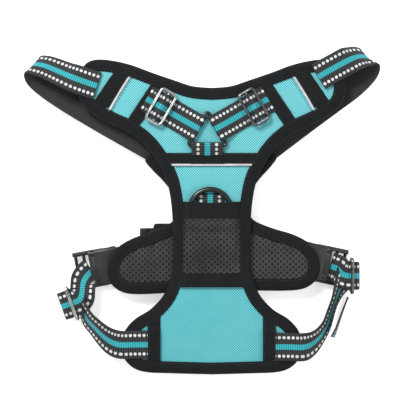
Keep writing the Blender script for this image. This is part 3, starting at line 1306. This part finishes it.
rows = bpy.data.node_groups.new("stitch_rows", "GeometryNodeTree")
rows.interface.new_socket("Geometry", in_out="INPUT", socket_type="NodeSocketGeometry")
for label, value in (("Spacing", 0.003), ("Length", 0.002), ("Thickness", 0.0002)):
    rows.interface.new_socket(label, in_out="INPUT",
        socket_type="NodeSocketFloat").default_value = value
rows.interface.new_socket("Material", in_out="INPUT", socket_type="NodeSocketMaterial")
rows.interface.new_socket("Geometry", in_out="OUTPUT", socket_type="NodeSocketGeometry")
given, result = rows.nodes.new("NodeGroupInput"), rows.nodes.new("NodeGroupOutput")
to_curve = rows.nodes.new("GeometryNodeMeshToCurve")
spaced = rows.nodes.new("GeometryNodeResampleCurve")
spaced.mode = "LENGTH"
tangent = rows.nodes.new("GeometryNodeInputTangent")
turned_to = rows.nodes.new("FunctionNodeAlignRotationToVector")
bead = rows.nodes.new("GeometryNodeMeshUVSphere")
bead.inputs["Segments"].default_value = 6
bead.inputs["Rings"].default_value = 4
bead.inputs["Radius"].default_value = 1.0
stretch = rows.nodes.new("ShaderNodeCombineXYZ")
half = rows.nodes.new("ShaderNodeMath")
half.operation = "MULTIPLY"
half.inputs[1].default_value = 0.5
placed_on = rows.nodes.new("GeometryNodeInstanceOnPoints")
real = rows.nodes.new("GeometryNodeRealizeInstances")
dressed = rows.nodes.new("GeometryNodeSetMaterial")
for a, b in ((given.outputs["Geometry"], to_curve.inputs[0]),
    (to_curve.outputs[0], spaced.inputs["Curve"]),
             (given.outputs["Spacing"], spaced.inputs["Length"]),
                 (spaced.outputs[0], placed_on.inputs["Points"]),
             (bead.outputs[0], placed_on.inputs["Instance"]),
                 (tangent.outputs[0], turned_to.inputs["Vector"]),
             (turned_to.outputs[0], placed_on.inputs["Rotation"]),
                 (given.outputs["Thickness"], stretch.inputs["X"]),
             (given.outputs["Thickness"], stretch.inputs["Y"]),
                 (given.outputs["Length"], half.inputs[0]),
             (half.outputs[0], stretch.inputs["Z"]), (stretch.outputs[0], placed_on.inputs["Scale"]),
             (placed_on.outputs[0], real.inputs[0]), (real.outputs[0], dressed.inputs[0]),
             (given.outputs["Material"], dressed.inputs["Material"]),
                 (dressed.outputs[0], result.inputs[0])):
    rows.links.new(a, b)


def stitched(name, paths, **settings):
    """Stitches of the harness along several paths, as one plain mesh."""
    verts, edges = [], []
    for path, closed in paths:
        start = len(verts)
        verts += [tuple(map(float, p)) for p in path]
        edges += [(i, i + 1) for i in range(start, len(verts) - 1)]
        if closed:
            edges.append((len(verts) - 1, start))
    guide_mesh = bpy.data.meshes.new(name + "_guide")
    guide_mesh.from_pydata(verts, edges, [])
    guide = linked(name + "_guide", guide_mesh)
    spread = guide.modifiers.new("stitches", "NODES")
    spread.node_group = rows
    for item in rows.interface.items_tree:
        if item.in_out == "INPUT" and item.name in settings:
            spread[item.identifier] = settings[item.name]
    guide.update_tag()
    ready = guide.evaluated_get(bpy.context.evaluated_depsgraph_get())
    mesh = bpy.data.meshes.new_from_object(ready)
    bpy.data.objects.remove(guide)
    made = shade_smooth(linked(name, mesh))
    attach(made, "harness")
    return made


def on_top(points, height):
    p = np.asarray(points, float)
    z = height(p) if callable(height) else np.full(len(p), height)
    return np.column_stack([p, z])


def kept(points, gap):
    p = evenly(np.asarray(points, float), 0.001)
    good = np.array([inside_loop(q, chest_edge) for q in p]) & (edge_distance(p, chest_edge) > gap)
    return p[good]


seam_rows = []
for edge, high, low in ((chest_edge, rim, chest_low), (back_edge, back_high, back_low)):
    loop = edge + inward(edge) * (tape_width - 0.0016)
    seam_rows += [(on_top(loop, high + 0.00005), True), (on_top(loop, low - 0.00005), True)]
for y in (cross_top - 1.2, cross_low + 1.2):
    seam_rows.append((on_top([at(x, y) for x in np.linspace(-37, 37, 60)],
        lambda p: over_centre_strap(p) + 0.00005), False))
seam_rows.append((on_top([at(x, cross_low - 2.7) for x in np.linspace(-37, 37, 60)], deck + 0.0002),
    False))
for side in (-1, 1):
    for offset, gap, height in ((2.9, 0.009, lambda p: band_height(p) + 0.00005),
        (-2.5, tape_width, deck + 0.0002)):
        seam_rows.append((on_top(kept(line(*mirrored([(x + offset, y) for x, y in piping_curve],
            side)), gap), height), False))
    for a, b in (((37.3, 168), (69.2, 119.5)), ((45.7, 172), (75.8, 126.5))):
        seam_rows.append((on_top(kept(line(*mirrored([a, b], side)), 0.0098),
            lambda p: band_height(p) + 0.00005), False))
    for x in (46.8, 55.6):
        seam_rows.append((on_top(kept(line(*mirrored([(x, -40), (x, -90)], side)), 0.0098),
            lambda p: over_side_strap(p) + 0.00005), False))
wing_top = back_pad.evaluated_get(bpy.context.evaluated_depsgraph_get())
for a, b in wing_seams:
    points = evenly(np.array([np.array(a) * 0.74 + np.array(b) * 0.26,
        np.array(a) * 0.2 + np.array(b) * 0.8]), 0.001)
    heights = [wing_top.ray_cast((x, y, 1.0), (0, 0, -1))[1].z + 0.0001 for x, y in points]
    seam_rows.append((np.column_stack([points, heights]), False))
seams = stitched("seam_stitches", seam_rows, Spacing=0.0029, Length=0.0021, Thickness=0.00022,
    Material=thread)
